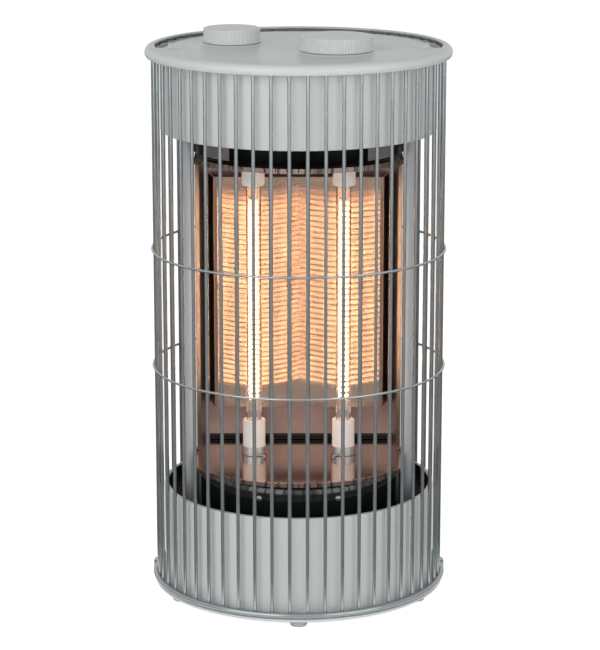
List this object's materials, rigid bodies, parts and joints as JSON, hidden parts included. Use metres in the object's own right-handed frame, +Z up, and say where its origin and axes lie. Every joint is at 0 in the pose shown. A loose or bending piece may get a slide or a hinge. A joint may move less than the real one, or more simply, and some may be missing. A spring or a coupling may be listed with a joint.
{
  "type": "patio heater",
  "caption": "Round upright patio heater: quartz heating elements before a fluted reflector in a wire cage, with a flat lid, dial knobs and a bail handle.",
  "frame": {"origin": "on the floor, below the middle of the heater", "axes": "+Z up, front (the open side of the heating chamber) towards -Y, +X to the right seen from the front"},
  "size_m": [0.3168, 0.3168, 0.5935],
  "materials": {
    "light_grey_paint": "satin",
    "black_enamel": "gloss",
    "plated_steel": "bright plated",
    "polished_aluminium": "polished",
    "plain_aluminium": "mill",
    "quartz_glass": "clear",
    "element_wire": "glowing",
    "ceramic": "matte ceramic",
    "black_plastic": "matte",
    "grey_rubber": "matte",
    "glass_fibre_sleeve": "woven",
    "light_grey_plastic": "satin"
  },
  "bodies": {
    "heater": {"base_plate": "light_grey_paint", "foot_front": "grey_rubber", "foot_front_right": "grey_rubber", "foot_rear_right": "grey_rubber", "foot_rear": "grey_rubber", "foot_rear_left": "grey_rubber", "foot_front_left": "grey_rubber", "lower_drum": "light_grey_paint", "lower_deck": "black_enamel", "lower_housing": "black_enamel", "housing_screw_left": "plated_steel", "housing_screw_right": "plated_steel", "floor_reflector": "polished_aluminium", "back_wall": "plain_aluminium", "fluted_reflector": "polished_aluminium", "side_panel_left": "plain_aluminium", "side_panel_right": "plain_aluminium", "rear_casing": "black_enamel", "post_left": "light_grey_paint", "post_right": "light_grey_paint", "quartz_tube_left": "quartz_glass", "quartz_tube_right": "quartz_glass", "heating_coil_left": "element_wire", "heating_coil_right": "element_wire", "lower_ceramic_left": "ceramic", "lower_ceramic_right": "ceramic", "upper_ceramic_left": "ceramic", "upper_ceramic_right": "ceramic", "ceramic_clip_left": "plated_steel", "ceramic_clip_right": "plated_steel", "series_link": "plated_steel", "upper_lead_left": "plated_steel", "upper_lead_right": "plated_steel", "ceiling_reflector": "polished_aluminium", "upper_collar": "black_enamel", "upper_deck": "black_enamel", "upper_drum": "light_grey_paint", "handle_channel": "light_grey_paint", "lid": "light_grey_paint", "handle_bush_left": "black_plastic", "handle_bush_right": "black_plastic", "rotary_switch": "black_plastic", "timer_module": "black_plastic", "terminal_block": "black_plastic", "thermal_cutout": "plated_steel", "tip_over_switch": "black_plastic", "cord_gland": "grey_rubber", "inlet_lead": "grey_rubber", "wiring_sleeve": "glass_fibre_sleeve", "cage": "plated_steel", "cage_lower_band": "plated_steel", "cage_upper_band": "plated_steel", "cage_top_ring": "plated_steel", "cage_clip_left": "light_grey_paint", "cage_clip_right": "light_grey_paint"},
    "power_dial": {"power_knob": "light_grey_plastic", "power_shaft": "plated_steel"},
    "timer_dial": {"timer_knob": "light_grey_plastic", "timer_shaft": "plated_steel"},
    "handle": {"carry_handle": "plated_steel"}
  },
  "joints": [
    {"name": "power_turn", "type": "hinge", "parent": "heater", "child": "power_dial", "pos_m": [-0.0694, 0.035, 0.5785], "axis": [0, 0, 1], "range_deg": [-135, 0]},
    {"name": "timer_turn", "type": "hinge", "parent": "heater", "child": "timer_dial", "pos_m": [0.0384, -0.03, 0.5785], "axis": [0, 0, 1], "range_deg": [-270, 0]},
    {"name": "handle_swing", "type": "hinge", "parent": "heater", "child": "handle", "pos_m": [0, 0.005, 0.5721], "axis": [1, 0, 0], "range_deg": [0, 90]}
  ]
}
